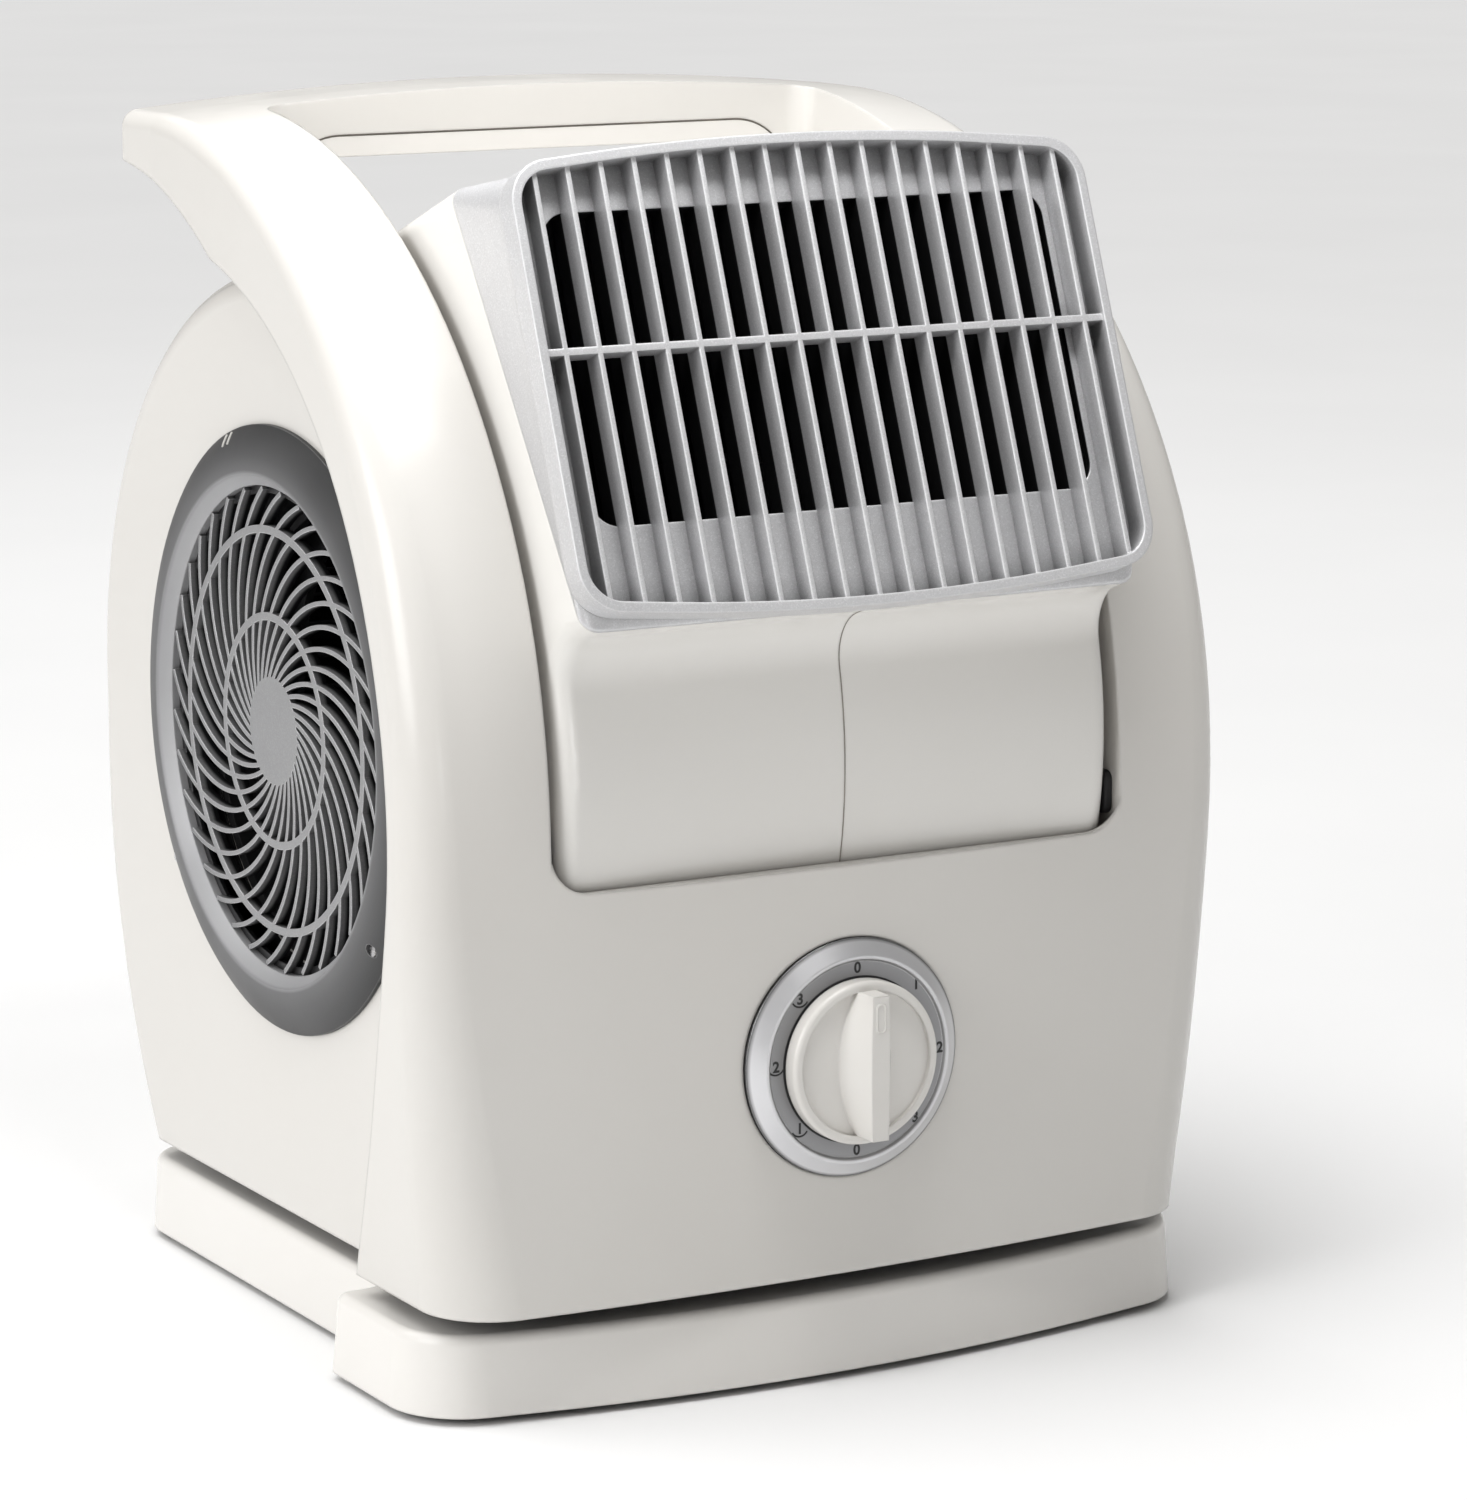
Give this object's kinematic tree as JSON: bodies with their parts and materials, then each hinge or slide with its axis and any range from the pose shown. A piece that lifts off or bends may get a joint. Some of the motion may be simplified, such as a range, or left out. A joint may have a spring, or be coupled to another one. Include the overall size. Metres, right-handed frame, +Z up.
{
  "type": "floor blower fan",
  "caption": "Portable blower fan with side intakes, a tilting drum with a slatted outlet nozzle, an arched carry handle and a dial, on an oscillating base.",
  "frame": {"origin": "on the floor, on the swivel axis, which is the middle of the outer box", "axes": "+X to the fan's left hand side as it faces the user, -Y towards the front, +Z up"},
  "size_m": [0.2922, 0.3174, 0.3937],
  "materials": {
    "shell_white": "gloss",
    "grip_white": "satin",
    "base_white": "gloss",
    "drum_white": "gloss",
    "knob_white": "gloss",
    "nozzle_silver": "satin",
    "rim_grey": "satin",
    "grille_silver": "satin",
    "bezel_silver": "satin",
    "inner_black": "matt",
    "slide_white": "satin",
    "wheel_black": "matt",
    "foot_rubber": "matt",
    "gland_rubber": "matt",
    "steel": "satin",
    "motor_steel": "satin",
    "bracket_steel": "satin",
    "bearing_bronze": "satin"
  },
  "bodies": {
    "base": {"base_shell": "base_white", "base_cover": "inner_black", "base_feet": "foot_rubber", "base_screws": "steel", "swivel_thrust_ring": "slide_white"},
    "housing": {"front_shell": "shell_white", "handle_grip": "grip_white", "rear_housing": "shell_white", "body_floor": "inner_black", "swivel_retainer": "steel", "left_intake_rim": "rim_grey", "right_intake_rim": "rim_grey", "left_intake_grille": "grille_silver", "right_intake_grille": "grille_silver", "intake_screws": "steel", "dial_bezel": "bezel_silver", "rotary_switch": "inner_black", "swivel_motor": "bracket_steel", "run_capacitor": "inner_black", "cord_gland": "gland_rubber"},
    "crank": {"crank_arm": "slide_white", "crank_shaft": "steel"},
    "drum": {"drum_left_half": "drum_white", "drum_right_half": "drum_white", "nozzle_shroud": "nozzle_silver", "nozzle_grille": "nozzle_silver", "nozzle_screws": "steel", "motor_bracket": "bracket_steel", "motor_can": "motor_steel", "motor_bearings": "bearing_bronze"},
    "fan": {"fan_shaft": "steel", "left_wheel": "wheel_black", "right_wheel": "wheel_black", "wheel_nuts": "steel"},
    "knob": {"dial_knob": "knob_white", "switch_spindle": "steel"}
  },
  "joints": [
    {"name": "body_swivel", "type": "hinge", "parent": "base", "child": "housing", "pos_m": [0, 0, 0.022], "axis": [0, 0, 1], "range_deg": [-30, 30]},
    {"name": "crank_turn", "type": "hinge", "parent": "housing", "child": "crank", "pos_m": [0, 0.052, 0.036], "axis": [0, 0, 1], "range_deg": [-87, 87]},
    {"name": "drum_tilt", "type": "hinge", "parent": "housing", "child": "drum", "pos_m": [0, 0.01125, 0.194], "axis": [-1, 0, 0], "range_deg": [-25, 15]},
    {"name": "fan_spin", "type": "hinge", "parent": "drum", "child": "fan", "pos_m": [0, 0.01125, 0.194], "axis": [1, 0, 0], "continuous": true},
    {"name": "dial_turn", "type": "hinge", "parent": "housing", "child": "knob", "pos_m": [0, -0.135, 0.104], "axis": [0, -1, 0], "continuous": true}
  ],
  "couplings": [
    {"joint": "crank_turn", "follows": "body_swivel", "ratio": -2.9}
  ]
}
